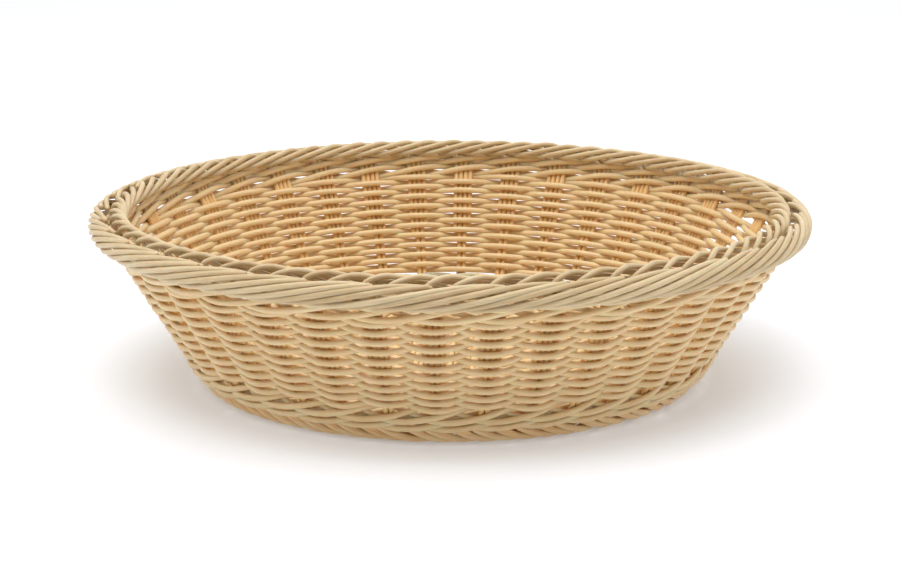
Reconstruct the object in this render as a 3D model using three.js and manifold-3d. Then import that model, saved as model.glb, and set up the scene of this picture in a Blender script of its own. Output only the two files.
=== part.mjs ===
// Round wicker basket with flared sides, woven from three-millimetre strands.
// Millimetres, +Z up. The origin is the centre of the circle that the foot stands on.
//
// The stakes start at the middle of the base, run out under the floor weave, turn up at the
// rim of the base and end inside the plaited border. Every woven band is one closed ring
// with a channel for each stake. The bands and stakes keep a small clearance all round.

import * as THREE from "three";
import { mergeVertices } from "three/addons/utils/BufferGeometryUtils.js";
import Module from "manifold-3d";

const wasm = await Module();
wasm.setup();

// ---- Overall sizes ----
const RIM_DIAMETER = 400;
const FOOT_DIAMETER = 281;
const BASKET_HEIGHT = 100;

// ---- Strands and stakes ----
const STRAND = 3;
const STAKE_COUNT = 38;
const STAKE_STRANDS = 2;
const BYE_STAKE_STRANDS = 2;
const CLEARANCE = 0.3;

// ---- Heights of the bands, from the floor up ----
const FOOT_HEIGHT = 9;
const UPSET_WALE_HEIGHT = 11;
const LOWER_WEAVE_HEIGHT = 27;
const TOP_WALE_HEIGHT = 9.4;
const BORDER_HEIGHT = 17.4;

// ---- The foot and the border, with widths measured along the radius ----
const FOOT_WIDTH = 11.5;
const ROLL_HEIGHT = 13.4;
const BORDER_OVERHANG = 10.6;
const PLAIT_INSIDE_STAKE = 6.2;
const PLAIT_OUTSIDE_STAKE = 3.2;
const STAKE_SEAT = 6;
const WEB_BETWEEN_STAKES = 1;

// ---- Fineness of the round parts ----
const RING_SIDES = 2 * STAKE_COUNT;
const ARC_STEP_DEGREES = 30;

// ---- Worked-out sizes ----
const PITCH_ANGLE = (2 * Math.PI) / STAKE_COUNT;
const RIM_RADIUS = RIM_DIAMETER / 2;
const FOOT_RADIUS = FOOT_DIAMETER / 2;
const WALL_THICKNESS = 3 * STRAND;
const STAKE_WIDTH = STAKE_STRANDS * STRAND;
const UPPER_STAKE_WIDTH = (STAKE_STRANDS + BYE_STAKE_STRANDS) * STRAND;

const UPSET_TOP = FOOT_HEIGHT + UPSET_WALE_HEIGHT;
const BYE_STAKE_LEVEL = UPSET_TOP + LOWER_WEAVE_HEIGHT;
const BORDER_UNDERSIDE = BASKET_HEIGHT - BORDER_HEIGHT;
const WEAVE_TOP = BORDER_UNDERSIDE - TOP_WALE_HEIGHT;
const STAKE_LEVEL = FOOT_HEIGHT + CLEARANCE + STRAND / 2;
const FLOOR_UNDERSIDE = STAKE_LEVEL - WALL_THICKNESS / 2;
const FLOOR_TOP = STAKE_LEVEL + WALL_THICKNESS / 2;

const FLARE = (RIM_RADIUS - BORDER_OVERHANG - FOOT_RADIUS) / BORDER_UNDERSIDE;
const RADIAL_THICKNESS = WALL_THICKNESS * Math.hypot(1, FLARE);
const CROSSING_RADIUS =
  (STAKE_COUNT * (STAKE_WIDTH + 2 * CLEARANCE + WEB_BETWEEN_STAKES)) / (2 * Math.PI);
const FOOT_INNER_RADIUS = FOOT_RADIUS - FOOT_WIDTH;

const wallOuter = (z) => FOOT_RADIUS + FLARE * z;
const wallMiddle = (z) => wallOuter(z) - RADIAL_THICKNESS / 2;
const wallInner = (z) => wallOuter(z) - RADIAL_THICKNESS;

const STAKE_TIP_RADIUS = wallMiddle(BORDER_UNDERSIDE);
const PLAIT_INNER_RADIUS = STAKE_TIP_RADIUS - PLAIT_INSIDE_STAKE;
const PLAIT_OUTER_RADIUS = STAKE_TIP_RADIUS + PLAIT_OUTSIDE_STAKE;
const ROLL_WIDTH = RIM_RADIUS - PLAIT_OUTER_RADIUS - CLEARANCE;

// ---- Finishes ----
const finish = (color, roughness) =>
  new THREE.MeshStandardMaterial({ color, roughness, metalness: 0 });
const BORDER_FINISH = finish("#d9c6a0", 0.5);
const WALL_FINISH = finish("#d2ab74", 0.55);
const FOOT_FINISH = finish("#cfae7f", 0.55);
const STAKE_FINISH = finish("#c69a5f", 0.6);

// ---- Joining and cutting ----

/** Makes a solid from a closed geometry. */
function toSolid(geometry) {
  const bare = geometry.clone();
  bare.deleteAttribute("normal");
  bare.deleteAttribute("uv");
  const merged = mergeVertices(bare, 1e-3);
  return new wasm.Manifold(
    new wasm.Mesh({
      numProp: 3,
      vertProperties: new Float32Array(merged.attributes.position.array),
      triVerts: new Uint32Array(merged.index.array),
    }),
  );
}

/** Makes a geometry from a solid. */
function toGeometry(solid) {
  const mesh = solid.getMesh();
  const geometry = new THREE.BufferGeometry();
  geometry.setAttribute("position", new THREE.BufferAttribute(mesh.vertProperties, 3));
  geometry.setIndex(new THREE.BufferAttribute(mesh.triVerts, 1));
  geometry.computeVertexNormals();
  return geometry;
}

// ---- Round parts ----

/** Turns an outline of [radius, height] points, anticlockwise, into a ring about +Z. */
function ringGeometry(outline, sides, startAngle) {
  const closed = [...outline, outline[0]].map(([r, z]) => new THREE.Vector2(r, z));
  const geometry = new THREE.LatheGeometry(closed, sides, startAngle);
  return geometry.rotateX(Math.PI / 2);
}

/** Points of an elliptical arc, its first and last points included. */
function arc(centreR, centreZ, halfWidth, halfHeight, startDegrees, endDegrees) {
  const points = [];
  const steps = (endDegrees - startDegrees) / ARC_STEP_DEGREES;
  for (let i = 0; i <= steps; i += 1) {
    const degrees = startDegrees + ARC_STEP_DEGREES * i;
    const turn = THREE.MathUtils.degToRad(degrees);
    points.push([centreR + halfWidth * Math.cos(turn), centreZ + halfHeight * Math.sin(turn)]);
  }
  return points;
}

/** Outline of a wall band between two heights, its sides following the flare. */
function wallOutline(bottom, top) {
  return [
    [wallInner(bottom), bottom],
    [wallOuter(bottom), bottom],
    [wallOuter(top), top],
    [wallInner(top), top],
  ];
}

/** Outline of the floor weave: it steps over the foot and meets the upset wale. */
function floorOutline() {
  const step = FOOT_HEIGHT + CLEARANCE;
  const edge = (z) => wallInner(z) - CLEARANCE;
  return [
    [CROSSING_RADIUS + CLEARANCE, FLOOR_UNDERSIDE],
    [FOOT_INNER_RADIUS - CLEARANCE, FLOOR_UNDERSIDE],
    [FOOT_INNER_RADIUS - CLEARANCE, step],
    [edge(step), step],
    [edge(FLOOR_TOP), FLOOR_TOP],
    [CROSSING_RADIUS + CLEARANCE, FLOOR_TOP],
  ];
}

/** Outline of the foot: flat underneath, rounded outside, flat on top. */
function footOutline() {
  const half = FOOT_HEIGHT / 2;
  return [
    [FOOT_INNER_RADIUS, 0],
    ...arc(FOOT_RADIUS - half, half, half, half, -90, 90),
    [FOOT_INNER_RADIUS, FOOT_HEIGHT],
  ];
}

/** Outline of the border's outer roll: an ellipse just outside the plait. */
function rollOutline() {
  const halfWidth = ROLL_WIDTH / 2;
  const halfHeight = ROLL_HEIGHT / 2;
  const middle = BORDER_UNDERSIDE + CLEARANCE + halfHeight;
  return arc(RIM_RADIUS - halfWidth, middle, halfWidth, halfHeight, -90, 240);
}

/** Outline of the border's inner plait: flat underneath, its top falling inwards. */
function plaitOutline() {
  const bottom = BORDER_UNDERSIDE + CLEARANCE;
  const half = (BASKET_HEIGHT - bottom) / 2;
  const width = PLAIT_OUTER_RADIUS - PLAIT_INNER_RADIUS;
  return [
    [PLAIT_INNER_RADIUS, bottom],
    [PLAIT_OUTER_RADIUS, bottom],
    ...arc(PLAIT_OUTER_RADIUS, bottom + half, width, half, 90, 180),
  ];
}

// ---- Stakes ----

/** Widens a bent centre line into an outline, with mitred corners. */
function ribbonOutline(line, half) {
  const sides = [[], []];
  line.forEach((point, i) => {
    const before = line[Math.max(i - 1, 0)];
    const after = line[Math.min(i + 1, line.length - 1)];
    const arriving = point === before ? after.clone().sub(point) : point.clone().sub(before);
    const leaving = point === after ? arriving.clone() : after.clone().sub(point);
    arriving.normalize();
    leaving.normalize();
    const normal = new THREE.Vector2(-arriving.y - leaving.y, arriving.x + leaving.x).normalize();
    const reach = half / normal.dot(new THREE.Vector2(-arriving.y, arriving.x));
    sides[0].push(point.clone().addScaledVector(normal, -reach));
    sides[1].unshift(point.clone().addScaledVector(normal, reach));
  });
  return [...sides[0], ...sides[1]];
}

/** Extrudes an outline in the radius-height plane to a width across the radius. */
function ribbonSolid(line, half, width) {
  const shape = new THREE.Shape(ribbonOutline(line, half));
  const geometry = new THREE.ExtrudeGeometry(shape, { depth: width, bevelEnabled: false });
  geometry.translate(0, 0, -width / 2);
  geometry.rotateX(Math.PI / 2);
  return toSolid(geometry);
}

/** One stake with its bye-stakes, along +X, grown all round by an allowance. */
function stakeSolid(allowance) {
  const start = CROSSING_RADIUS + CLEARANCE - allowance;
  const top = BORDER_UNDERSIDE + STAKE_SEAT + allowance;
  const byeLevel = BYE_STAKE_LEVEL - allowance;
  const bend = new THREE.Vector2(wallMiddle(STAKE_LEVEL), STAKE_LEVEL);
  const shoulder = new THREE.Vector2(STAKE_TIP_RADIUS, BORDER_UNDERSIDE);
  const tip = new THREE.Vector2(STAKE_TIP_RADIUS, top);
  const half = STRAND / 2 + allowance;
  const stake = ribbonSolid(
    [new THREE.Vector2(start, STAKE_LEVEL), bend, shoulder, tip],
    half,
    STAKE_WIDTH + 2 * allowance,
  );
  const byeStakes = ribbonSolid(
    [new THREE.Vector2(wallMiddle(byeLevel), byeLevel), shoulder, tip],
    half,
    UPPER_STAKE_WIDTH + 2 * allowance,
  );
  return stake.add(byeStakes);
}

/** The space that all the stakes take up, with their clearance. */
function allStakeChannels() {
  const channel = toGeometry(stakeSolid(CLEARANCE));
  let channels = null;
  for (let i = 0; i < STAKE_COUNT; i += 1) {
    const turned = toSolid(channel.clone().rotateZ(i * PITCH_ANGLE - Math.PI / 2));
    channels = channels === null ? turned : channels.add(turned);
  }
  return channels;
}

// ---- Assembly ----

const basket = new THREE.Group();

/** Adds a named piece to the basket. */
function addPiece(name, geometry, material) {
  const mesh = new THREE.Mesh(geometry, material.clone());
  mesh.name = name;
  basket.add(mesh);
  return mesh;
}

/** Adds a flat-sided ring, one side to a stake, with the stake channels cut out. */
function addBand(name, outline, material, channels) {
  const ring = toSolid(ringGeometry(outline, STAKE_COUNT, PITCH_ANGLE / 2));
  addPiece(name, toGeometry(ring.subtract(channels)), material);
}

function addBase(channels) {
  const disc = [
    new THREE.Vector2(0, STAKE_LEVEL - STRAND),
    new THREE.Vector2(CROSSING_RADIUS, STAKE_LEVEL - STRAND),
    new THREE.Vector2(CROSSING_RADIUS, STAKE_LEVEL + STRAND),
    new THREE.Vector2(0, STAKE_LEVEL + STRAND),
  ];
  const centre = new THREE.LatheGeometry(disc, STAKE_COUNT, PITCH_ANGLE / 2);
  addPiece("base_centre", centre.rotateX(Math.PI / 2), STAKE_FINISH);
  addBand("base_weave", floorOutline(), WALL_FINISH, channels);
  addPiece("foot_border", ringGeometry(footOutline(), RING_SIDES, 0), FOOT_FINISH);
}

function addWall(channels) {
  const half = CLEARANCE / 2;
  const bands = [
    ["upset_wale", FOOT_HEIGHT + CLEARANCE, UPSET_TOP - half],
    ["side_weave_lower", UPSET_TOP + half, BYE_STAKE_LEVEL - half],
    ["side_weave_upper", BYE_STAKE_LEVEL + half, WEAVE_TOP - half],
    ["top_wale", WEAVE_TOP + half, BORDER_UNDERSIDE],
  ];
  for (const [name, bottom, top] of bands) {
    addBand(name, wallOutline(bottom, top), WALL_FINISH, channels);
  }
}

function addBorder(channels) {
  const plait = toSolid(ringGeometry(plaitOutline(), RING_SIDES, 0));
  addPiece("rim_plait", toGeometry(plait.subtract(channels)), BORDER_FINISH);
  addPiece("rim_roll", ringGeometry(rollOutline(), RING_SIDES, 0), BORDER_FINISH);
}

function addStakes() {
  const stake = toGeometry(stakeSolid(0));
  for (let i = 0; i < STAKE_COUNT; i += 1) {
    const name = `stake_${String(i + 1).padStart(2, "0")}`;
    addPiece(name, stake, STAKE_FINISH).rotation.z = i * PITCH_ANGLE - Math.PI / 2;
  }
}

const channels = allStakeChannels();
addBase(channels);
addWall(channels);
addBorder(channels);
addStakes();

export default basket;
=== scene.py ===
"""A round flared basket of woven strand: the looks of every rod, weaver and border strand.

Every strand is a tube laid along its own path through the weave, and a few paths go on as a second
piece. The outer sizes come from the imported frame's boxes. Angles turn anticlockwise seen from above, and
stake 0 stands at -Y.
"""

import logging
import math
from dataclasses import dataclass
from enum import Enum

import bpy
import numpy as np
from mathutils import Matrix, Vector


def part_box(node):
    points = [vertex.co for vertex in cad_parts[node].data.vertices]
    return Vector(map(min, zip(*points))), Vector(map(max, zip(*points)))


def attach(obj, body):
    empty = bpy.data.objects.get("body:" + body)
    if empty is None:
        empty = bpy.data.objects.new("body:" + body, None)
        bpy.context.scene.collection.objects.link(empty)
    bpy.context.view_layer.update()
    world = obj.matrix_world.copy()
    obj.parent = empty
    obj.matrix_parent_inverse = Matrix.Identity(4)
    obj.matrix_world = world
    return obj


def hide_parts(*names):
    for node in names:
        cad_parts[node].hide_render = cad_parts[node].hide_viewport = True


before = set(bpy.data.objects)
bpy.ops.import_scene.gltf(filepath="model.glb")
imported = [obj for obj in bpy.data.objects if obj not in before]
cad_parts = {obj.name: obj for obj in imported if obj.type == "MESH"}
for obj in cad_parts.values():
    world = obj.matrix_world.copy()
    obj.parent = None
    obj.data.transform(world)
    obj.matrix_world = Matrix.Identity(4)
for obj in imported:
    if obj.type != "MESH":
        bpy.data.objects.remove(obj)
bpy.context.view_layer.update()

MM = 0.001
STRAND = 3.0 * MM
TUBE_RADIUS = 0.5 * STRAND
WEAVER_BREADTH = 0.60 * STRAND
FIRST_STAKE_ANGLE = -math.pi / 2

logging.basicConfig(level=logging.INFO, format="%(message)s")
log = logging.getLogger("basket")


# ---------------------------------------------------------------- the basket's form


@dataclass(frozen=True)
class BasketForm:
    """The basket's main sizes, worked out from the frame's boxes.

    The wall's middle surface is a cone that follows the side weave's outer edge, and it turns upright
    under the border. Places on the wall are given by a height and by how far out they stand from it.
    """

    stake_count: int
    flare: float
    wall_foot_radius: float
    floor_height: float
    border_height: float
    tip_radius: float
    rim_radius: float
    roll_low: float
    roll_high: float
    plait_radius: float
    foot_radius: float
    upright_slope: float = 0.25
    turn_height: float = 9.0 * MM
    back_droop: float = 0.55

    @classmethod
    def from_frame(cls) -> "BasketForm":
        """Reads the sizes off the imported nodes' boxes."""
        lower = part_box("side_weave_lower")[1]
        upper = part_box("side_weave_upper")[1]
        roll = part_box("rim_roll")
        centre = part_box("base_centre")
        flare = (upper.x - lower.x) / (upper.z - lower.z)
        half_wall = 1.5 * STRAND * math.hypot(1.0, flare)
        foot = lower.x - flare * lower.z - half_wall
        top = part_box("top_wale")[1].z
        return cls(
            stake_count=sum(name.startswith("stake_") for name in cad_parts),
            flare=flare,
            wall_foot_radius=foot,
            floor_height=(centre[0].z + centre[1].z) / 2,
            border_height=top,
            tip_radius=foot + flare * top,
            rim_radius=roll[1].x,
            roll_low=roll[0].z,
            roll_high=roll[1].z,
            plait_radius=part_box("rim_plait")[1].x,
            foot_radius=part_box("foot_border")[1].x,
        )

    @property
    def pitch(self) -> float:
        """The angle from one stake to the next."""
        return 2.0 * math.pi / self.stake_count

    def stake_angle(self, stakes: np.ndarray) -> np.ndarray:
        """The angle of a place counted in stakes, fractions allowed."""
        return FIRST_STAKE_ANGLE + stakes * self.pitch

    def lean(self, height: np.ndarray) -> np.ndarray:
        """The wall's slope, radius over height: the flare, easing to the upright slope at the border."""
        share = np.clip((height - self.border_height + self.turn_height / 2) / self.turn_height, 0.0, 1.0)
        eased = share * share * (3.0 - 2.0 * share)
        return self.flare + (self.upright_slope - self.flare) * eased

    def middle_radius(self, height: np.ndarray) -> np.ndarray:
        """The radius of the wall's middle surface at a height: the sum of its slope from the floor up."""
        levels = np.linspace(0.0, 1.3 * self.border_height, 400)
        slopes = self.lean(levels)
        steps = 0.5 * (slopes[1:] + slopes[:-1]) * np.diff(levels)
        radii = self.wall_foot_radius + np.concatenate([[0.0], np.cumsum(steps)])
        return np.interp(height, levels, radii)

    def wall_point(self, angle: np.ndarray, height: np.ndarray, out: np.ndarray) -> np.ndarray:
        """Points on the wall: the middle surface at a height, moved outwards and a little down.

        At the front a strand swings square to the wall. Towards the back it swings more nearly level,
        which closes the slots there when they are seen from the front and a little above.

        Args:
            angle: The angles round the basket.
            height: The heights on the middle surface.
            out: How far each point stands out from it, negative for inside.

        Returns:
            The points, with x, y and z on the last axis.
        """
        behind = 0.5 - 0.5 * np.cos(angle - FIRST_STAKE_ANGLE)
        slope = self.lean(height) * (1.0 - (1.0 - self.back_droop) * behind)
        size = np.hypot(1.0, slope)
        radius = self.middle_radius(height) + out / size
        return polar(angle, radius, height - out * slope / size)

    def wall_normal(self, angle: np.ndarray, height: np.ndarray) -> np.ndarray:
        """The wall's outward direction at each angle and height."""
        slope = self.lean(height)
        size = np.hypot(1.0, slope)
        return polar(angle, 1.0 / size, -slope / size)


def polar(angle: np.ndarray, radius: np.ndarray, height: np.ndarray) -> np.ndarray:
    """Points from angle, radius and height: x is radius times cosine, y radius times sine, z the height."""
    angle, radius, height = np.broadcast_arrays(angle, radius, height)
    return np.stack([radius * np.cos(angle), radius * np.sin(angle), height], axis=-1)


def smooth_line(points: np.ndarray, count: int) -> np.ndarray:
    """A smooth line through points, at places equally spaced along its chords.

    Between two points it is the cubic that meets each one with the mean slope of the chords beside it.

    Args:
        points: The points to pass through, one a row.
        count: How many places to return.

    Returns:
        The places on the line, one a row.
    """
    steps = np.linalg.norm(np.diff(points, axis=0), axis=1)
    marks = np.concatenate([[0.0], np.cumsum(steps)])
    slopes = np.gradient(points, marks, axis=0)
    places = np.linspace(0.0, marks[-1], count)
    low = np.clip(np.searchsorted(marks, places, side="right") - 1, 0, len(steps) - 1)
    span = steps[low][:, None]
    u = ((places - marks[low]) / steps[low])[:, None]
    start = (2.0 * u**3 - 3.0 * u**2 + 1.0) * points[low]
    start_slope = (u**3 - 2.0 * u**2 + u) * span * slopes[low]
    end = (3.0 * u**2 - 2.0 * u**3) * points[low + 1]
    end_slope = (u**3 - u**2) * span * slopes[low + 1]
    return start + start_slope + end + end_slope


def uneven(stakes: np.ndarray, rng: np.random.Generator, size: float) -> np.ndarray:
    """Small chance differences along a strand: one random value at each stake, eased from one to the next.

    Args:
        stakes: Places along the strand counted in stakes.
        rng: The seeded source of chance.
        size: The spread of the values.

    Returns:
        The value at each place.
    """
    first = int(np.floor(stakes.min()))
    values = rng.normal(0.0, size, int(np.ceil(stakes.max())) - first + 2)
    low = np.floor(stakes).astype(int) - first
    share = stakes - np.floor(stakes)
    eased = 0.5 - 0.5 * np.cos(math.pi * share)
    return values[low] + (values[low + 1] - values[low]) * eased


# ---------------------------------------------------------------- strands as tubes


@dataclass
class Strands:
    """Alike strands: centre lines with the same number of points, and the direction their seam faces.

    Args:
        centres: The centre lines, strands by points by 3.
        facing: A direction at each point that is never along the strand, same shape or broadcast to it.
        seed: The seed of each strand's own tone and grain.
        sides: The number of flats round a strand.
        radius: Half of a strand's thickness along its facing direction.
        breadth: Half of its thickness across that direction.
    """

    centres: np.ndarray
    facing: np.ndarray
    seed: int
    sides: int = 8
    radius: float = TUBE_RADIUS
    breadth: float = TUBE_RADIUS

    CAP_REACH = 0.35
    CAP_SHRINK = 0.72
    GRAIN_OFFSETS = 40.0

    def surface(self) -> tuple[np.ndarray, np.ndarray, np.ndarray]:
        """Carries a circle along each centre line and closes both ends.

        A ring's point is the centre plus the radius times cosine of the facing direction plus the
        breadth times sine of the direction across it. Each end has a smaller ring beyond the last one,
        and a middle point.

        Returns:
            The rings' points (strands, rings, sides, 3), the end points (strands, 2, 3), and each ring's
            distance along its strand (strands, rings).
        """
        centres = np.asarray(self.centres, float)
        along = np.gradient(centres, axis=1)
        along /= np.linalg.norm(along, axis=-1, keepdims=True)
        ends = centres[:, [0, -1]] + along[:, [0, -1]] * np.array([-1.0, 1.0])[None, :, None] * (
            self.radius * self.CAP_REACH
        )
        facing = np.broadcast_to(self.facing, centres.shape)
        centres = np.concatenate([ends[:, :1], centres, ends[:, 1:]], axis=1)
        along = np.concatenate([along[:, :1], along, along[:, -1:]], axis=1)
        facing = np.concatenate([facing[:, :1], facing, facing[:, -1:]], axis=1)
        face = facing - along * np.sum(facing * along, axis=-1, keepdims=True)
        face /= np.linalg.norm(face, axis=-1, keepdims=True)
        across = np.cross(along, face)
        turn = np.arange(self.sides) * (2.0 * math.pi / self.sides)
        size = np.ones(centres.shape[1])
        size[[0, -1]] = self.CAP_SHRINK
        deep = self.radius * np.cos(turn)[:, None] * face[:, :, None]
        wide = self.breadth * np.sin(turn)[:, None] * across[:, :, None]
        points = centres[:, :, None] + size[None, :, None, None] * (deep + wide)
        steps = np.linalg.norm(np.diff(centres, axis=1), axis=-1)
        lengths = np.concatenate([np.zeros((len(centres), 1)), np.cumsum(steps, axis=1)], axis=1)
        return points, centres[:, [0, -1]], lengths

    def arrays(self) -> dict[str, np.ndarray]:
        """The strands' vertices, quads, end triangles and the two attributes that the finish reads."""
        points, ends, lengths = self.surface()
        strands, rings, sides = points.shape[:3]
        rng = np.random.default_rng(self.seed)
        tone = rng.normal(0.0, 1.0, strands)
        offset = rng.uniform(0.0, self.GRAIN_OFFSETS, strands)
        turn = np.arange(sides) * (2.0 * math.pi / sides)
        grain = np.empty((strands, rings, sides, 3))
        grain[..., 0] = np.cos(turn)
        grain[..., 1] = np.sin(turn)
        grain[..., 2] = (lengths + offset[:, None])[:, :, None]
        end_grain = np.zeros((strands, 2, 3))
        end_grain[..., 2] = lengths[:, [0, -1]] + offset[:, None]
        block = rings * sides + 2
        first = (np.arange(strands) * block)[:, None, None]
        ring_at = (np.arange(rings - 1) * sides)[None, :, None]
        here = np.arange(sides)[None, None, :]
        after = (here + 1) % sides
        low = first + ring_at
        quads = np.stack([low + here, low + after, low + sides + after, low + sides + here], axis=-1)
        start = first[:, 0] + rings * sides
        last = first[:, 0] + (rings - 1) * sides
        spread = np.arange(sides)[None, :]
        onward = (spread + 1) % sides
        start_fan = np.stack([start + 0 * spread, first[:, 0] + onward, first[:, 0] + spread], axis=-1)
        end_fan = np.stack([start + 1 + 0 * spread, last + spread, last + onward], axis=-1)
        flat = [points.reshape(strands, -1, 3), ends]
        grains = [grain.reshape(strands, -1, 3), end_grain]
        return {
            "points": np.concatenate(flat, axis=1).reshape(-1, 3),
            "grain": np.concatenate(grains, axis=1).reshape(-1, 3),
            "tone": np.repeat(tone, block),
            "quads": quads.reshape(-1, 4),
            "fans": np.concatenate([start_fan, end_fan]).reshape(-1, 3),
        }

    def total_length(self) -> float:
        """The length of all the strands together."""
        return float(np.linalg.norm(np.diff(self.centres, axis=1), axis=-1).sum())


def strand_object(name: str, bundles: list[Strands]) -> bpy.types.Object:
    """One mesh object from bundles of strands, at the origin, with its grain and tone attributes.

    Args:
        name: The object's name.
        bundles: The strands that it is made of.

    Returns:
        The new object, linked to the scene.
    """
    made = [bundle.arrays() for bundle in bundles]
    starts = np.cumsum([0] + [len(part["points"]) for part in made[:-1]])
    points = np.concatenate([part["points"] for part in made])
    quads = np.concatenate([part["quads"] + start for part, start in zip(made, starts)])
    fans = np.concatenate([part["fans"] + start for part, start in zip(made, starts)])
    corners = np.concatenate([quads.ravel(), fans.ravel()])
    face_starts = np.concatenate([
        np.arange(len(quads)) * 4,
        len(quads) * 4 + np.arange(len(fans)) * 3,
    ])
    mesh = bpy.data.meshes.new(name)
    mesh.vertices.add(len(points))
    mesh.vertices.foreach_set("co", points.astype(np.float32).ravel())
    mesh.loops.add(len(corners))
    mesh.loops.foreach_set("vertex_index", corners.astype(np.int32))
    mesh.polygons.add(len(face_starts))
    mesh.polygons.foreach_set("loop_start", face_starts.astype(np.int32))
    mesh.update(calc_edges=True)
    mesh.polygons.foreach_set("use_smooth", np.ones(len(face_starts), bool))
    grain = np.concatenate([part["grain"] for part in made]).astype(np.float32)
    mesh.attributes.new("grain", "FLOAT_VECTOR", "POINT").data.foreach_set("vector", grain.ravel())
    tone = np.concatenate([part["tone"] for part in made]).astype(np.float32)
    mesh.attributes.new("tone", "FLOAT", "POINT").data.foreach_set("value", tone)
    mesh.validate()
    obj = bpy.data.objects.new(name, mesh)
    bpy.context.scene.collection.objects.link(obj)
    return obj


# ---------------------------------------------------------------- finishes


class Wire:
    """A number socket in a node tree, with Python's operators in place of Math nodes."""

    def __init__(self, maker: "ShaderMaker", socket: bpy.types.NodeSocket) -> None:
        """Holds the socket and the maker that adds nodes to its tree."""
        self.maker = maker
        self.socket = socket

    def _maths(self, operation: str, first: object, second: object) -> "Wire":
        """A Math node on two values."""
        return self.maker.node("ShaderNodeMath", {"operation": operation}, {0: first, 1: second})

    def __add__(self, other: object) -> "Wire":
        """This plus other."""
        return self._maths("ADD", self, other)

    def __sub__(self, other: object) -> "Wire":
        """This less other."""
        return self._maths("SUBTRACT", self, other)

    def __mul__(self, other: object) -> "Wire":
        """This times other."""
        return self._maths("MULTIPLY", self, other)

    def __rsub__(self, other: object) -> "Wire":
        """Other less this."""
        return self._maths("SUBTRACT", other, self)

    __radd__ = __add__
    __rmul__ = __mul__


class ShaderMaker:
    """Adds nodes to one material's tree."""

    def __init__(self, material: bpy.types.Material) -> None:
        """Starts on an empty tree.

        Args:
            material: The material whose tree is made.
        """
        material.use_nodes = True
        self.tree = material.node_tree
        self.tree.nodes.clear()

    def node(self, kind: str, settings: dict, inputs: dict, output: object = 0) -> Wire:
        """Adds one node.

        Args:
            kind: The node's type.
            settings: Its own settings, set before its sockets.
            inputs: Values, colours or wires by socket name or number.
            output: The name or number of the socket to return.

        Returns:
            The chosen output.
        """
        made = self.tree.nodes.new(kind)
        for key, value in settings.items():
            setattr(made, key, value)
        for key, value in inputs.items():
            if isinstance(value, Wire):
                self.tree.links.new(value.socket, made.inputs[key])
            else:
                made.inputs[key].default_value = value
        return Wire(self, made.outputs[output])

    def show(self, surface: Wire) -> None:
        """Joins a shader to the material's output."""
        output = self.tree.nodes.new("ShaderNodeOutputMaterial")
        self.tree.links.new(surface.socket, output.inputs["Surface"])

    def mix_colour(self, share: Wire, first: object, second: object, blend: str = "MIX") -> Wire:
        """A Mix node on two colours.

        Args:
            share: How much of the second colour shows.
            first: The first colour or wire.
            second: The second colour or wire.
            blend: How they mix.

        Returns:
            The mixed colour.
        """
        settings = {"data_type": "RGBA", "blend_type": blend, "clamp_factor": True}
        inputs = {"Factor": share, 6: first, 7: second}
        return self.node("ShaderNodeMix", settings, inputs, 2)


def linear(red: int, green: int, blue: int) -> tuple[float, float, float, float]:
    """A display colour from 0 to 255 as the linear colour that a shader takes."""
    shares = np.array([red, green, blue]) / 255.0
    low = shares / 12.92
    high = ((shares + 0.055) / 1.055) ** 2.4
    return tuple(float(x) for x in np.where(shares <= 0.04045, low, high)) + (1.0,)


@dataclass(frozen=True)
class StrandFinish:
    """Satin plastic strand drawn to look like peeled cane: fine streaks along it, no two strands alike."""

    name: str
    slot: str
    pale: tuple[float, float, float, float]
    deep: tuple[float, float, float, float]
    roughness: float = 0.42
    streak_fineness: float = 1.5
    streak_length: float = 16.0 * MM
    tone_spread: float = 0.13
    groove_depth: float = 0.05 * MM
    mottle_size: float = 9.0 * MM
    glow: float = 0.6

    def material(self) -> bpy.types.Material:
        """Builds the material.

        Streaks are noise on the grain attribute, stretched along the strand. Broad cloudiness is noise on
        Object coordinates. The strand's own tone, the streaks and the cloudiness together mix the deep
        and the pale colour, the streaks raise fine ridges, and they vary the roughness a little.
        """
        material = bpy.data.materials.new(self.name)
        make = ShaderMaker(material)
        grain = make.node("ShaderNodeAttribute", {"attribute_name": "grain"}, {}, "Vector")
        tone = make.node("ShaderNodeAttribute", {"attribute_name": "tone"}, {}, "Fac")
        place = make.node("ShaderNodeTexCoord", {}, {}, "Object")
        lengthwise = 1.0 / self.streak_length
        stretch = (self.streak_fineness, self.streak_fineness, lengthwise)
        fibres = make.node("ShaderNodeVectorMath", {"operation": "MULTIPLY"}, {0: grain, 1: stretch})
        streak = make.node(
            "ShaderNodeTexNoise",
            {"noise_dimensions": "3D"},
            {"Vector": fibres, "Scale": 1.6, "Detail": 3.0, "Roughness": 0.6},
        )
        cloud = make.node(
            "ShaderNodeTexNoise",
            {"noise_dimensions": "3D"},
            {"Vector": place, "Scale": 1.0 / self.mottle_size, "Detail": 2.0, "Roughness": 0.5},
        )
        share = (streak - 0.5) * 1.1 + (cloud - 0.5) * 0.6 + tone * self.tone_spread + 0.62
        share = make.node("ShaderNodeClamp", {}, {"Value": share})
        colour = make.mix_colour(share, self.deep, self.pale)
        roughness = (0.5 - streak) * 0.25 + self.roughness
        ridges = make.node(
            "ShaderNodeBump",
            {},
            {"Strength": 0.6, "Distance": self.groove_depth, "Height": streak},
        )
        surface = make.node(
            "ShaderNodeBsdfPrincipled",
            {},
            {
                "Base Color": colour,
                "Roughness": roughness,
                "Normal": ridges,
                "Specular IOR Level": 0.42,
                "IOR": 1.49,
                "Subsurface Weight": self.glow,
                "Subsurface Radius": (1.0, 0.55, 0.25),
                "Subsurface Scale": 2.2 * MM,
            },
        )
        make.show(surface)
        return material


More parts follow.
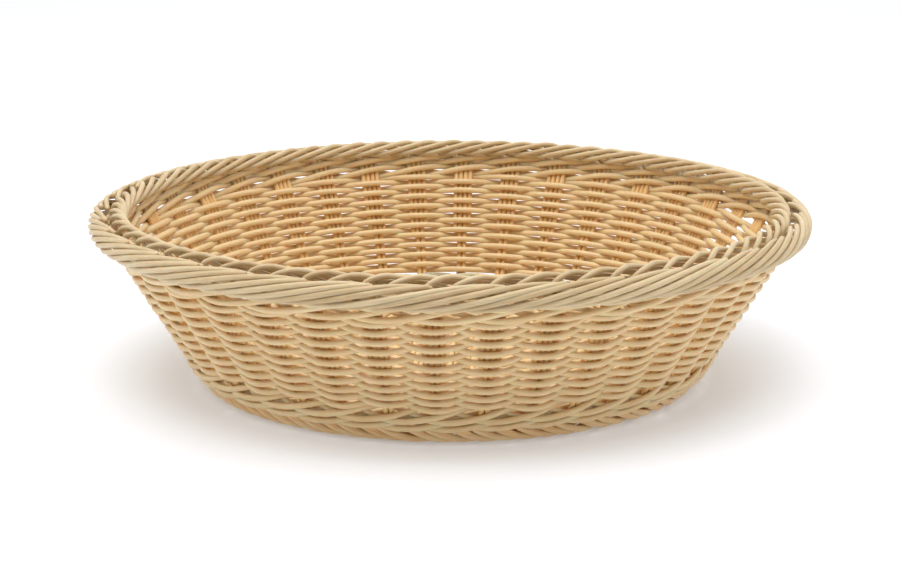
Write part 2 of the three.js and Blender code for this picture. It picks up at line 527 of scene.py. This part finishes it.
class Finish(Enum):
    """The finishes of the basket's strands, each with its slot name."""

    # Painted shade and painted sheen: the border's colours are darker and greyer than the wall's, standing
    # for how the light falls on the rim and for its pale sheen.
    BORDER = StrandFinish("border strand", "border_strand", linear(214, 195, 158), linear(188, 162, 119))
    WALL = StrandFinish("wall strand", "wall_strand", linear(233, 210, 166), linear(214, 180, 126))
    FOOT = StrandFinish("foot strand", "foot_strand", linear(240, 212, 166), linear(222, 182, 126))
    # Painted light: the stakes' colours are brighter and warmer than the wall's, standing for the warm glow
    # in the shaded windows between the weavers. The floor's crossing wears them too.
    STAKE = StrandFinish("stake strand", "stake_strand", linear(240, 205, 147), linear(226, 180, 115))


_made_finishes: dict[Finish, bpy.types.Material] = {}


def finish_material(finish: Finish) -> bpy.types.Material:
    """The material of a finish, made once."""
    if finish not in _made_finishes:
        _made_finishes[finish] = finish.value.material()
    return _made_finishes[finish]


# ---------------------------------------------------------------- sub-assemblies


class SubAssembly:
    """What every sub-assembly does: turn strands into a dressed piece that stands for its CAD nodes."""

    strand_length = 0.0

    def dress(self, name: str, bundles: list[Strands], finish: Finish, nodes: list[str]) -> None:
        """Makes one piece, gives it its finish and ties it to the frame.

        Args:
            name: The piece's name.
            bundles: Its strands.
            finish: The finish that it wears.
            nodes: The CAD nodes that it stands for.
        """
        piece = strand_object(name, bundles)
        piece.data.materials.append(finish_material(finish))
        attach(piece, "root")
        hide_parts(*nodes)
        length = sum(bundle.total_length() for bundle in bundles)
        SubAssembly.strand_length += length
        triangles = sum(len(p.vertices) - 2 for p in piece.data.polygons)
        log.info("%s: %d triangles, %.1f m of strand", name, triangles, length)


@dataclass
class SideWeave(SubAssembly):
    """The side: two weavers that chase each other round, each over one stake and behind the next."""

    form: BasketForm
    turns: int = 10
    step_stakes: int = 4
    start_stake: int = 8
    reach_low: float = 3.2 * MM
    reach_high: float = 3.6 * MM
    bye_height: float = 46.0 * MM
    bye_easing: float = 6.0 * MM
    waviness: float = 0.15 * MM
    chance: float = 0.12 * MM
    samples_per_stake: int = 11
    seed: int = 11

    # Row number counted from the lowest, and the row's height in millimetres, at the front and at the back.
    FRONT_ROWS = ((0, 22.4), (4, 31.9), (8, 42.8), (12, 54.7), (16, 66.5), (19, 74.5))
    BACK_ROWS = ((0, 22.8), (19, 75.6))

    def row_height(self, row: np.ndarray, angle: np.ndarray) -> np.ndarray:
        """The height of a row, fractions allowed, at each angle: the front's share and the back's together.

        Args:
            row: The number of the row, counted from the lowest.
            angle: The angles round the basket.

        Returns:
            The heights on the middle surface.
        """
        front, back = np.array(self.FRONT_ROWS).T, np.array(self.BACK_ROWS).T
        behind = 0.5 - 0.5 * np.cos(angle - FIRST_STAKE_ANGLE)
        height = (1.0 - behind) * np.interp(row, *front) + behind * np.interp(row, *back)
        return height * MM

    def _weaver(self, number: int, part: slice) -> Strands:
        """One weaver, for some of its rounds.

        It runs level for most of a round, then climbs to the next one over a few stakes, easing in and
        out. It starts and ends where the steps begin, so at its start it lies in its own next round. Its
        distance from the middle surface is the reach times the cosine of pi for each stake.

        Args:
            number: 0 or 1, the two weavers being one stake apart.
            part: Which of its points to keep.
        """
        form = self.form
        count = form.stake_count
        lead = self.step_stakes / 2 / count
        steps = self.turns * count * self.samples_per_stake
        whole = np.linspace(0.0, self.turns, steps + 1) - lead
        rng = np.random.default_rng(self.seed + number)
        stakes = self.start_stake + number + (whole + lead) * count
        angle = form.stake_angle(stakes)
        nearest = np.clip(np.round(whole), 1.0, self.turns - 1.0)
        climb = np.clip((whole - nearest) * count / self.step_stakes + 0.5, 0.0, 1.0)
        rounds = nearest - 1.0 + climb * climb * (3.0 - 2.0 * climb)
        height = self.row_height(2.0 * rounds + number, angle) + uneven(stakes, rng, self.chance)
        height = height + self.waviness * np.sin(3.0 * angle + 1.0 + 0.2 * rounds)
        height = height + self.waviness * np.sin(7.0 * angle + 2.2 + 0.1 * rounds)
        share = np.clip((height - self.bye_height) / self.bye_easing, 0.0, 1.0)
        reach = self.reach_low + (self.reach_high - self.reach_low) * share
        wave = np.cos(math.pi * (stakes + number))
        out = wave * (reach + uneven(stakes, rng, self.chance))
        centres = form.wall_point(angle, height, out)[part]
        facing = form.wall_normal(angle, height)[part]
        return Strands(centres[None], facing[None], self.seed + number, breadth=WEAVER_BREADTH)

    def build(self) -> None:
        """Makes the lower and the upper part of the side."""
        half = self.turns * self.form.stake_count * self.samples_per_stake // 2
        lower = [self._weaver(number, slice(0, half + 1)) for number in range(2)]
        upper = [self._weaver(number, slice(half, None)) for number in range(2)]
        self.dress("lower_side_weavers", lower, Finish.WALL, ["side_weave_lower"])
        self.dress("upper_side_weavers", upper, Finish.WALL, ["side_weave_upper"])


@dataclass
class Wale(SubAssembly):
    """A three-rod wale: each strand goes outside two stakes and inside one, rising a layer as it goes."""

    form: BasketForm
    name: str
    node: str
    levels: tuple[float, float, float]
    start_stake: int
    stakes_run: int
    seed: int
    second_round_rise: float = 0.0
    rise_stakes: float = 4.0
    height_chance: float = 0.15 * MM
    reach_chance: float = 0.1 * MM
    samples_per_stake: int = 9

    RODS = 3
    INSIDE = -1.0
    SHIFT = 1.0
    SWING = 3.3
    FLATTEN = 0.7

    def _rod(self, number: int) -> Strands:
        """One rod of the wale.

        With x the rod's phase, a third of a turn for each stake and zero midway between its two outside
        stakes, it stands out by a constant plus a cosine of x less a smaller cosine of 2 x. Its height
        is the one wave, three stakes long, that has the three given levels at the stakes. Its two ends
        are inside, the first a little low and the last a little high, so that they pass each other.
        """
        form = self.form
        steps = self.stakes_run * self.samples_per_stake
        tau = np.linspace(self.INSIDE, self.stakes_run + self.INSIDE, steps + 1)
        rng = np.random.default_rng(self.seed + number)
        stakes = self.start_stake + number + 1 + tau
        angle = form.stake_angle(stakes)
        phase = 2.0 * math.pi * (tau - 0.5) / self.RODS
        out = (self.SHIFT + self.SWING * np.cos(phase) - self.FLATTEN * np.cos(2.0 * phase)) * MM
        turn = 2.0 * math.pi / self.RODS
        levels = np.array(self.levels)
        at_stakes = turn * np.arange(self.RODS)
        cosine_part = 2.0 / self.RODS * float(levels @ np.cos(at_stakes))
        sine_part = 2.0 / self.RODS * float(levels @ np.sin(at_stakes))
        height = levels.mean() + cosine_part * np.cos(turn * tau) + sine_part * np.sin(turn * tau)
        passing = np.clip(tau - self.stakes_run + 2.0, 0.0, 1.0) - np.clip(-tau, 0.0, 1.0)
        round_end = form.stake_count - number
        climb = np.clip((tau - round_end) / self.rise_stakes + 1.0, 0.0, 1.0)
        climb = climb * climb * (3.0 - 2.0 * climb)
        height = height + STRAND / 2 * passing + self.second_round_rise * climb
        height = height + uneven(stakes, rng, self.height_chance)
        out = out + uneven(stakes, rng, self.reach_chance)
        centres = form.wall_point(angle, height, out)
        facing = form.wall_normal(angle, height)
        return Strands(centres[None], facing[None], self.seed + number, breadth=WEAVER_BREADTH)

    def build(self) -> None:
        """Makes the wale's three rods as one piece."""
        rods = [self._rod(number) for number in range(self.RODS)]
        self.dress(self.name, rods, Finish.WALL, [self.node])


@dataclass
class Floor(SubAssembly):
    """The floor: pairs of rods that cross in the middle, and weavers that open them into spokes."""

    form: BasketForm
    cross_radius: float = 46.0 * MM
    pair_pitch: float = 6.3 * MM
    rod_half_gap: float = 1.5 * MM
    first_pair_row: float = 49.0 * MM
    spoke_radius: float = 64.0 * MM
    single_row: float = 65.0 * MM
    last_row: float = 134.6 * MM
    row_pitch: float = 3.31 * MM
    reach: float = 3.0 * MM
    upright_pairs: int = 9
    seed: int = 31

    CROSS_SEED = 40

    def offsets(self, stake: int) -> tuple[float, float, float]:
        """Where a stake leaves the crossing.

        Args:
            stake: The stake's number.

        Returns:
            The angle of the side that it leaves by, its distance from that side's middle line, and the
            height of its layer above the floor's middle.
        """
        count = self.form.stake_count
        level_pairs = count // 2 - self.upright_pairs
        spread = (stake + self.upright_pairs // 2) % count
        half_turn = spread >= count // 2
        within = spread - half_turn * (count // 2)
        upright = within < self.upright_pairs
        place = within if upright else within - self.upright_pairs
        pairs = self.upright_pairs if upright else level_pairs
        side = FIRST_STAKE_ANGLE + half_turn * math.pi + (0.0 if upright else math.pi / 2)
        layer = (0.5 if upright else -0.5) * STRAND
        return side, (place - (pairs - 1) / 2) * self.pair_pitch, layer

    def spoke_line(self, stake: int, across: float, count: int) -> np.ndarray:
        """One rod's way from the crossing to the ring where the rods stand as even spokes.

        It is the cubic that leaves the crossing square to its side and arrives along the stake's radius.

        Args:
            stake: The stake's number.
            across: The rod's distance from the pair's middle line.
            count: The number of points.

        Returns:
            The points of its centre line.
        """
        side, offset, layer = self.offsets(stake)
        outward = np.array([math.cos(side), math.sin(side), 0.0])
        leftward = np.array([-math.sin(side), math.cos(side), 0.0])
        angle = float(self.form.stake_angle(np.array(float(stake))))
        spoke = np.array([math.cos(angle), math.sin(angle), 0.0])
        beside = np.array([-math.sin(angle), math.cos(angle), 0.0])
        depth = math.sqrt(self.cross_radius**2 - offset**2)
        start = outward * depth + leftward * (offset + across)
        end = spoke * self.spoke_radius + beside * across
        start[2] = self.form.floor_height + layer
        end[2] = self.form.floor_height
        span = np.linalg.norm(end - start)
        u = np.linspace(0.0, 1.0, count)[:, None]
        line = (2.0 * u**3 - 3.0 * u**2 + 1.0) * start + (u**3 - 2.0 * u**2 + u) * span * outward
        return line + (3.0 * u**2 - 2.0 * u**3) * end + (u**3 - u**2) * span * spoke

    def _cross(self) -> list[Strands]:
        """The straight rods of the crossing, each from one side of it to the other."""
        bundles = []
        half = self.form.stake_count // 2
        for stake in range(-(self.upright_pairs // 2), half - self.upright_pairs // 2):
            side, offset, layer = self.offsets(stake)
            depth = math.sqrt(self.cross_radius**2 - offset**2)
            across = offset + np.array([-1.0, 1.0])[:, None] * self.rod_half_gap
            along = np.linspace(-depth, depth, 12)[None, :]
            x = along * math.cos(side) - across * math.sin(side)
            y = along * math.sin(side) + across * math.cos(side)
            z = np.full_like(x, self.form.floor_height + layer)
            centres = np.stack([x, y, z], axis=-1)
            bundles.append(Strands(centres, np.array([0.0, 0.0, 1.0]), self.seed + stake + self.CROSS_SEED))
        return bundles

    def _angles_at(self, radius: float) -> np.ndarray:
        """The angles at which the stakes' pairs pass a radius."""
        count = self.form.stake_count
        angles = []
        for stake in range(count):
            line = self.spoke_line(stake, 0.0, 24)
            radii = np.hypot(line[:, 0], line[:, 1])
            plain = float(self.form.stake_angle(np.array(float(stake))))
            turned = np.arctan2(line[:, 1], line[:, 0]) - plain
            turned = (turned + math.pi) % (2.0 * math.pi) - math.pi
            angles.append(plain + np.interp(radius, radii, turned))
        return np.array(angles)

    def _weaver(
        self, start: float, end: float, group: int, number: int, weavers: int, samples: int
    ) -> Strands:
        """A weaver that winds outwards over and under groups of stakes.

        Its radius grows evenly with the turns. Its phase follows the stakes' true places, which are
        even beyond the spoke ring and bunched together inside it.

        Args:
            start: The radius of its first turn.
            end: The radius of its last turn.
            group: How many stakes it goes over at a time.
            number: Which weaver it is.
            weavers: How many weavers work together.
            samples: The points for each stake.
        """
        form = self.form
        count = form.stake_count
        turns = (end - start) / (self.row_pitch * weavers)
        steps = int(turns * count * samples)
        whole = np.linspace(0.0, turns, steps + 1)
        radius = start + self.row_pitch * (whole * weavers + number)
        stakes = whole * count
        if start < self.spoke_radius:
            inner = self._angles_at(start + 0.5 * (end - start))
            marks = np.concatenate([inner[-2:] - 2.0 * math.pi, inner, inner[:2] + 2.0 * math.pi])
            numbers = np.arange(-2, count + 2)
            turn_angle = FIRST_STAKE_ANGLE + (stakes % count) * form.pitch
            places = np.interp(turn_angle, marks, numbers)
            stakes_here = np.floor(stakes / count) * count + places
        else:
            stakes_here = stakes
        rng = np.random.default_rng(self.seed + 5 * group + number)
        middle = 0.5 * (group - 1)
        phase = math.pi * ((stakes_here - middle) / group + number)
        wave = np.cos(phase)
        angle = FIRST_STAKE_ANGLE + stakes * form.pitch
        height = form.floor_height + wave * self.reach + uneven(stakes, rng, 0.08 * MM)
        radius = radius + uneven(stakes, rng, 0.1 * MM)
        centres = polar(angle, radius, height)
        return Strands(centres[None], np.array([0.0, 0.0, 1.0]), self.seed + 9 * group + number)

    def build(self) -> None:
        """Makes the crossing and the floor's weavers."""
        self.dress("floor_crossing", self._cross(), Finish.STAKE, ["base_centre"])
        pair_end = self.spoke_radius - self.row_pitch
        weavers = [self._weaver(self.first_pair_row, pair_end, 2, 0, 1, 6)]
        weavers += [self._weaver(self.single_row, self.last_row, 1, number, 2, 7) for number in range(2)]
        self.dress("floor_weavers", weavers, Finish.WALL, ["base_weave"])


@dataclass
class Stakes(SubAssembly):
    """The stakes: two rods from the floor up the side, and two more pushed in beside them half-way up."""

    form: BasketForm
    floor: Floor
    bend_radius: float = 6.0 * MM
    rod_half_gap: float = 1.5 * MM
    bye_offset: float = 4.4 * MM
    bye_start: float = 46.0 * MM
    rod_top: float = 88.0 * MM
    seed: int = 71

    def _side_line(self, count: int) -> np.ndarray:
        """Radius and height of a stake from the spoke ring to its top, with a rounded bend between.

        Returns:
            Rows of radius and height, evenly spaced.
        """
        form = self.form
        corner = form.wall_foot_radius + form.flare * form.floor_height
        rise = math.atan2(1.0, form.flare)
        setback = self.bend_radius * math.tan(rise / 2)
        turn = np.linspace(-math.pi / 2, -math.pi / 2 + rise, 9)
        centre_height = form.floor_height + self.bend_radius
        bend = np.stack([
            corner - setback + self.bend_radius * np.cos(turn),
            centre_height + self.bend_radius * np.sin(turn),
        ], axis=-1)
        start_height = bend[-1, 1] + 1.0 * MM
        heights = np.linspace(start_height, self.rod_top, 40)
        wall = np.stack([form.middle_radius(heights), heights], axis=-1)
        leg_start = np.linspace(self.floor.spoke_radius, bend[0, 0] - 1.0 * MM, 12)
        leg = np.stack([leg_start, np.full(12, form.floor_height)], axis=-1)
        line = np.concatenate([leg, bend, wall])
        steps = np.linalg.norm(np.diff(line, axis=0), axis=1)
        marks = np.concatenate([[0.0], np.cumsum(steps)])
        even = np.linspace(0.0, marks[-1], count)
        return np.stack([np.interp(even, marks, line[:, 0]), np.interp(even, marks, line[:, 1])], axis=-1)

    def _rods(self, stake: int, rng: np.random.Generator) -> list[Strands]:
        """The strands of one stake: two long rods, and the two that start half-way up."""
        form = self.form
        angle = float(form.stake_angle(np.array(float(stake))))
        outward = np.array([math.cos(angle), math.sin(angle), 0.0])
        beside = np.array([-math.sin(angle), math.cos(angle), 0.0])
        side = self._side_line(56)
        upright = np.array([0.0, 0.0, 1.0])
        lines = []
        for sign in (-1.0, 1.0):
            spoke = self.floor.spoke_line(stake, sign * self.rod_half_gap, 10)[:-1]
            wall = side[:, :1] * outward + side[:, 1:] * upright + sign * self.rod_half_gap * beside
            lines.append(np.concatenate([spoke, wall]))
        long_rods = Strands(np.stack(lines), beside, self.seed + stake)
        short = []
        for sign in (-1.0, 1.0):
            start = self.bye_start + rng.uniform(-3.0, 3.0) * MM
            heights = np.linspace(start, form.border_height, 24)
            radius = form.middle_radius(heights)
            spread = sign * (self.bye_offset - 0.35 * MM * np.exp(-(heights - start) / (6.0 * MM)))
            short.append(radius[:, None] * outward + heights[:, None] * upright + spread[:, None] * beside)
        return [long_rods, Strands(np.stack(short), beside, self.seed + 100 + stake)]

    def build(self) -> None:
        """Makes the stakes, a piece for each."""
        rng = np.random.default_rng(self.seed)
        for stake in range(self.form.stake_count):
            number = f"{stake + 1:02d}"
            self.dress(f"stake_rods_{number}", self._rods(stake, rng), Finish.STAKE, [f"stake_{number}"])


@dataclass
class Border(SubAssembly):
    """The border: each stake's two ends plait down inwards, come out below and roll round the rim."""

    form: BasketForm
    roll_start: float = math.radians(-86.0)
    roll_per_stake: float = math.radians(75.0)
    first_end: float = math.radians(137.0)
    second_end: float = math.radians(100.0)
    end_lift: float = 0.6 * MM
    shift_chance: float = 0.035
    radius_chance: float = 0.12 * MM
    height_chance: float = 0.15 * MM
    points_per_strand: int = 110
    seed: int = 201

    # Each row is stakes along, then millimetres out from the stake's tip and above the border's foot.
    FIRST_PLAIT = (
        (-0.145, -0.4, -0.6), (-0.13, 1.4, 5.4), (-0.12, 2.1, 8.4), (-0.05, 2.6, 11.9), (0.10, 1.3, 14.4),
        (0.28, -1.4, 15.1), (0.48, -3.1, 14.1), (0.72, -4.0, 12.5), (0.96, -4.4, 10.8), (1.20, -4.0, 9.1),
        (1.37, -2.3, 8.0), (1.49, 0.8, 7.7), (1.61, 4.2, 8.0), (1.75, 6.9, 6.7), (1.88, 8.4, 4.6),
        (2.00, 9.3, 3.0),
    )
    SECOND_PLAIT = (
        (0.145, -0.4, -0.6), (0.20, 1.4, 5.4), (0.27, 2.2, 8.4), (0.36, 2.8, 11.2), (0.55, 1.8, 13.8),
        (0.78, -0.8, 15.0), (0.98, -2.9, 14.1), (1.22, -4.0, 12.5), (1.46, -4.4, 10.8), (1.70, -4.0, 9.1),
        (1.86, -2.3, 8.0), (1.98, 0.8, 7.7), (2.10, 4.2, 8.0), (2.24, 6.9, 6.7), (2.38, 8.4, 4.6),
        (2.50, 9.3, 3.0),
    )
    FIRST_ROLL_STAKE = 2.10
    SECOND_ROLL_STAKE = 2.62

    def _line(self, plait: tuple, roll_stake: float, end: float) -> tuple[np.ndarray, int]:
        """One border strand as stakes along, radius and height.

        After the plait it goes round the roll: its angle about the roll's middle grows evenly with the
        stakes passed, on an ellipse that lifts a little towards its end.

        Args:
            plait: The points of its plaited part.
            roll_stake: Where the roll starts, in stakes.
            end: The angle about the roll's middle where it ends.

        Returns:
            The line, and the number of its points that belong to the plait.
        """
        form = self.form
        foot = np.array([0.0, form.tip_radius, form.border_height])
        first = np.array(plait) * np.array([1.0, MM, MM]) + foot
        inner = form.plait_radius + 0.1 * STRAND
        centre_radius = (form.rim_radius + inner) / 2
        centre_height = (form.roll_high + form.roll_low) / 2
        wide = (form.rim_radius - inner) / 2 - STRAND / 2
        high = (form.roll_high - form.roll_low) / 2 - STRAND / 2
        turn = np.arange(self.roll_start, end + 0.01, math.radians(20.0))
        lifted = self.end_lift * np.clip((turn - math.radians(60.0)) / math.radians(60.0), 0.0, 1.0)
        roll = np.stack([
            roll_stake + (turn - self.roll_start) / self.roll_per_stake,
            centre_radius + (wide + lifted) * np.cos(turn),
            centre_height + (high + lifted) * np.sin(turn),
        ], axis=-1)
        scale = np.array([form.pitch * form.tip_radius, 1.0, 1.0])
        points = np.concatenate([first, roll]) * scale
        line = smooth_line(points, self.points_per_strand) / scale
        split_stake = plait[-2][0]
        return line, int(np.searchsorted(line[:, 0], split_stake))

    def _bundles(self, line: np.ndarray, split: int, seed: int) -> tuple[Strands, Strands]:
        """Every stake's copy of one border strand, cut into its plaited and its rolled part.

        Each copy is moved and turned a little by chance, most near its end.
        """
        form = self.form
        rng = np.random.default_rng(seed)
        count = form.stake_count
        along = np.linspace(0.0, 1.0, len(line))[None, :]
        shift = rng.normal(0.0, self.shift_chance, (count, 1)) * np.clip(along * 3.0 - 1.0, 0.0, 1.0)
        stakes = np.arange(count)[:, None] + line[None, :, 0] + shift
        radius = line[None, :, 1] + rng.normal(0.0, self.radius_chance, (count, 1)) * along
        lift = rng.normal(0.0, self.height_chance, (count, 1))
        height = line[None, :, 2] + lift * np.sin(math.pi * along)
        angle = form.stake_angle(stakes)
        centres = polar(angle, radius, height)
        facing = polar(angle, 1.0, 0.0)
        plait = Strands(centres[:, : split + 1], facing[:, : split + 1], seed, sides=10)
        roll = Strands(centres[:, split:], facing[:, split:], seed, sides=10)
        return plait, roll

    def build(self) -> None:
        """Makes the plait and the roll."""
        first_plait, first_roll = self._bundles(
            *self._line(self.FIRST_PLAIT, self.FIRST_ROLL_STAKE, self.first_end), self.seed
        )
        second_plait, second_roll = self._bundles(
            *self._line(self.SECOND_PLAIT, self.SECOND_ROLL_STAKE, self.second_end), self.seed + 1
        )
        self.dress("border_plait", [first_plait, second_plait], Finish.BORDER, ["rim_plait"])
        self.dress("border_roll", [first_roll, second_roll], Finish.BORDER, ["rim_roll"])


@dataclass
class Foot(SubAssembly):
    """The foot: two strands a stake, that slant down outside, turn under and end inside."""

    form: BasketForm
    pair_spacing: float = 0.40
    jitter: float = 0.03
    end_jitter: float = 0.05
    radius_chance: float = 0.2 * MM
    points_per_strand: int = 46
    seed: int = 301

    # Each row is stakes along, millimetres in from the foot's edge, and millimetres above the ground.
    SLANT = (
        (0.30, 0.0, 10.5), (0.34, 0.3, 8.5), (0.50, 0.9, 6.2), (0.75, 1.5, 3.9), (1.00, 2.5, 2.4),
        (1.25, 4.3, 1.84), (1.50, 6.5, 1.92), (1.75, 8.2, 3.0), (1.95, 8.5, 4.7), (2.25, 6.9, 6.8),
        (2.65, 4.1, 8.0), (3.00, 3.5, 8.3), (3.40, 3.6, 8.4),
    )

    def build(self) -> None:
        """Makes the foot's strands, alike but for small chance shifts."""
        form = self.form
        rng = np.random.default_rng(self.seed)
        points = np.array(self.SLANT) * np.array([1.0, -MM, MM]) + np.array([0.0, form.foot_radius, 0.0])
        scale = np.array([form.pitch * form.foot_radius, 1.0, 1.0])
        line = smooth_line(points * scale, self.points_per_strand) / scale
        count = form.stake_count
        bundles = []
        for place in (0.0, self.pair_spacing):
            starts = np.arange(count)[:, None] + place + rng.normal(0.0, self.jitter, (count, 1))
            spread = np.linspace(0.0, 1.0, self.points_per_strand)
            stakes = starts + line[None, :, 0] + rng.normal(0.0, self.end_jitter, (count, 1)) * spread
            radius = line[None, :, 1] + rng.normal(0.0, self.radius_chance, (count, 1))
            angle = form.stake_angle(stakes)
            centres = polar(angle, radius, np.broadcast_to(line[None, :, 2], radius.shape))
            facing = polar(angle, 1.0, 0.0)
            bundles.append(Strands(centres, facing, self.seed + int(10 * place), breadth=WEAVER_BREADTH))
        self.dress("foot_strands", bundles, Finish.FOOT, ["foot_border"])


# ---------------------------------------------------------------- studio


@dataclass
class Studio:
    """A pale floor, large soft lights and the camera."""

    target_height: float = 50.0 * MM
    distance: float = 1300.0 * MM
    elevation: float = math.radians(13.7)
    azimuth: float = math.radians(-87.3)
    lens: float = 92.5
    floor_size: float = 12.0
    floor_colour: tuple[float, float, float, float] = linear(226, 228, 232)
    floor_glow: float = 0.28

    def build(self) -> None:
        """Makes the whole studio."""
        self._floor()
        self._world()
        self._light("top", Vector((0.0, 0.1, 1.9)), (2.2, 2.0), 28.0)
        self._light("left", Vector((-1.9, 0.3, 0.75)), (1.5, 1.4), 9.0)
        self._light("right", Vector((1.9, 0.3, 0.75)), (1.5, 1.4), 9.0)
        self._light("back", Vector((0.0, 2.4, 0.9)), (2.6, 1.4), 10.0)
        self._light("front", Vector((-0.3, -1.2, 2.3)), (1.8, 1.2), 22.0)
        self._camera()

    def _floor(self) -> None:
        """A flat pale sheet under the basket, built from its four corners."""
        half = self.floor_size / 2
        corners = [(-half, -half, 0.0), (half, -half, 0.0), (half, half, 0.0), (-half, half, 0.0)]
        mesh = bpy.data.meshes.new("studio_floor")
        mesh.from_pydata(corners, [], [(0, 1, 2, 3)])
        floor = bpy.data.objects.new("studio_floor", mesh)
        bpy.context.scene.collection.objects.link(floor)
        material = bpy.data.materials.new("studio paper")
        make = ShaderMaker(material)
        surface = make.node(
            "ShaderNodeBsdfPrincipled",
            {},
            {
                "Base Color": self.floor_colour,
                "Roughness": 0.9,
                "Specular IOR Level": 0.0,
                "Emission Color": self.floor_colour,
                "Emission Strength": self.floor_glow,
            },
        )
        make.show(surface)
        mesh.materials.append(material)

    @staticmethod
    def _world() -> None:
        """An even pale surrounding."""
        world = bpy.data.worlds.new("studio air")
        world.use_nodes = True
        background = world.node_tree.nodes["Background"]
        background.inputs["Color"].default_value = (1.0, 1.0, 1.0, 1.0)
        background.inputs["Strength"].default_value = 0.38
        bpy.context.scene.world = world
        bpy.context.scene.view_settings.view_transform = "Standard"

    @staticmethod
    def _light(name: str, place: Vector, size: tuple[float, float], power: float) -> None:
        """One soft panel of light that faces the basket."""
        data = bpy.data.lights.new(f"{name}_light", "AREA")
        data.shape = "RECTANGLE"
        data.size, data.size_y = size
        data.energy = power
        lamp = bpy.data.objects.new(f"{name}_light", data)
        lamp.location = place
        aim = Vector((0.0, 0.0, 0.05)) - place
        lamp.rotation_euler = aim.to_track_quat("-Z", "Y").to_euler()
        bpy.context.scene.collection.objects.link(lamp)

    def _camera(self) -> None:
        """The camera, looking slightly down at the basket's front."""
        data = bpy.data.cameras.new("camera")
        data.lens = self.lens
        data.sensor_width = 36.0
        data.clip_start = 0.01
        camera = bpy.data.objects.new("camera", data)
        target = Vector((0.0, 0.0, self.target_height))
        level = self.distance * math.cos(self.elevation)
        back = Vector((
            level * math.cos(self.azimuth),
            level * math.sin(self.azimuth),
            self.distance * math.sin(self.elevation),
        ))
        camera.location = target + back
        camera.rotation_euler = (-back).to_track_quat("-Z", "Y").to_euler()
        bpy.context.scene.collection.objects.link(camera)
        bpy.context.scene.camera = camera


# ---------------------------------------------------------------- all together


def main() -> None:
    """Builds the basket, sub-assembly by sub-assembly, and then the studio round it."""
    form = BasketForm.from_frame()
    log.info("%d stakes, rim radius %.1f mm", form.stake_count, form.rim_radius / MM)
    floor = Floor(form)
    floor.build()
    Stakes(form, floor).build()
    Foot(form).build()
    upset_levels = (11.2 * MM, 13.6 * MM, 14.9 * MM)
    Wale(
        form, "upset_wale_rods", "upset_wale", upset_levels,
        start_stake=19, stakes_run=77, seed=401, second_round_rise=4.2 * MM,
    ).build()
    SideWeave(form).build()
    top_levels = (77.1 * MM, 80.9 * MM, 80.7 * MM)
    Wale(
        form, "top_wale_rods", "top_wale", top_levels,
        start_stake=8, stakes_run=72, seed=411, second_round_rise=6.0 * MM,
    ).build()
    Border(form).build()
    log.info("%.1f m of strand in all", SubAssembly.strand_length)
    Studio().build()


if __name__ == "__main__":
    main()
